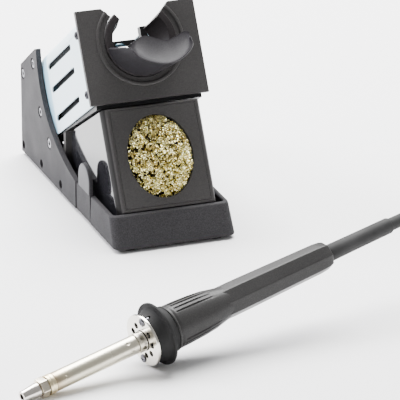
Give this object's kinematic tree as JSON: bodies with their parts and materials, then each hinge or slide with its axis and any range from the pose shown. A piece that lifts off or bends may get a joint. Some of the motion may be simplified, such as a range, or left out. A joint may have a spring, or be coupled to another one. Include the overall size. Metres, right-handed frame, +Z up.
{
  "type": "soldering rest with heated handpiece",
  "caption": "Slanted bench rest with a tilting slotted holder, funnel insert and pull-out brass-wool cleaning box, and a heated handpiece with its coiled lead lying in front",
  "frame": {"origin": "on the bench surface, under the middle of the box round the rest and the handpiece, without the lead", "axes": "+X to the right seen from the front, +Y to the back of the rest, +Z up"},
  "size_m": [0.4242, 0.3594, 0.1266],
  "materials": {
    "grey_plastic": "finely speckled grey moulded dissipative plastic",
    "dark_plastic": "satin near-black plastic with light grain",
    "gloss_plastic": "polished black plastic",
    "blue_paint": "very pale blue powder-coated sheet",
    "rubber": "matte black rubber",
    "steel": "warm steel with heat tint near the nozzle",
    "chrome": "bright plated",
    "brass": "bright curled brass",
    "handle_plastic": "soft-touch dark plastic",
    "fabric_strap": "woven strap"
  },
  "bodies": {
    "base": {"base_tray": "dark_plastic", "rear_wall": "dark_plastic", "side_panel_left": "grey_plastic", "side_panel_right": "grey_plastic", "foot_front_left": "rubber", "foot_front_right": "rubber", "foot_rear_left": "rubber", "foot_rear_right": "rubber", "pivot_screw_left": "chrome", "pivot_screw_right": "chrome", "panel_screw_left_1": "chrome", "panel_screw_left_2": "chrome", "panel_screw_left_3": "chrome", "panel_screw_right_1": "chrome", "panel_screw_right_2": "chrome", "panel_screw_right_3": "chrome"},
    "holder": {"head_plate": "dark_plastic", "holder_cover": "blue_paint", "holder_channel": "dark_plastic", "tool_guide": "dark_plastic", "cover_screw_1": "chrome", "cover_screw_2": "chrome", "cover_screw_3": "chrome", "cover_screw_4": "chrome"},
    "insert": {"funnel_insert": "dark_plastic"},
    "cleaning_box": {"box_shell": "gloss_plastic", "box_front": "dark_plastic", "brass_wool": "brass"},
    "tab_left": {"release_tab_left": "grey_plastic"},
    "tab_right": {"release_tab_right": "grey_plastic"},
    "handpiece": {"nozzle_tip": "steel", "nozzle_nut": "steel", "brass_ferrule": "brass", "barrel": "steel", "barrel_sleeve": "steel", "heater_core": "chrome", "flange": "chrome", "flange_screw_1": "chrome", "flange_screw_2": "chrome", "hand_guard": "rubber", "front_grip": "handle_plastic", "rear_handle": "handle_plastic", "strain_relief": "rubber", "lead_cord": "rubber", "lead_tail": "rubber", "lead_coil": "rubber", "lead_tie": "fabric_strap", "plug_relief": "rubber", "plug_body": "handle_plastic", "plug_ring": "chrome", "plug_face": "dark_plastic"}
  },
  "joints": [
    {"name": "holder_tilt", "type": "hinge", "parent": "base", "child": "holder", "pos_m": [0.03264, 0.12486, 0.02606], "axis": [-1, 0, 0], "range_deg": [0, 15]},
    {"name": "insert_pull", "type": "slide", "parent": "holder", "child": "insert", "axis": [0, -0.866, 0.5], "range_m": [0, 0.04]},
    {"name": "cleaning_box_slide", "type": "slide", "parent": "base", "child": "cleaning_box", "axis": [0, -0.866, 0.5], "range_m": [0, 0.12]},
    {"name": "tab_left_press", "type": "hinge", "parent": "base", "child": "tab_left", "pos_m": [-0.00406, 0.06139, 0.005], "axis": [0, 1, 0], "range_deg": [0, 6], "stiffness_Nm_per_rad": 1},
    {"name": "tab_right_press", "type": "hinge", "parent": "base", "child": "tab_right", "pos_m": [0.06934, 0.06139, 0.005], "axis": [0, -1, 0], "range_deg": [0, 6], "stiffness_Nm_per_rad": 1},
    {"name": "handpiece_lift", "type": "slide", "parent": "base", "child": "handpiece", "axis": [0, 0, 1], "range_m": [0, 0.2]}
  ]
}
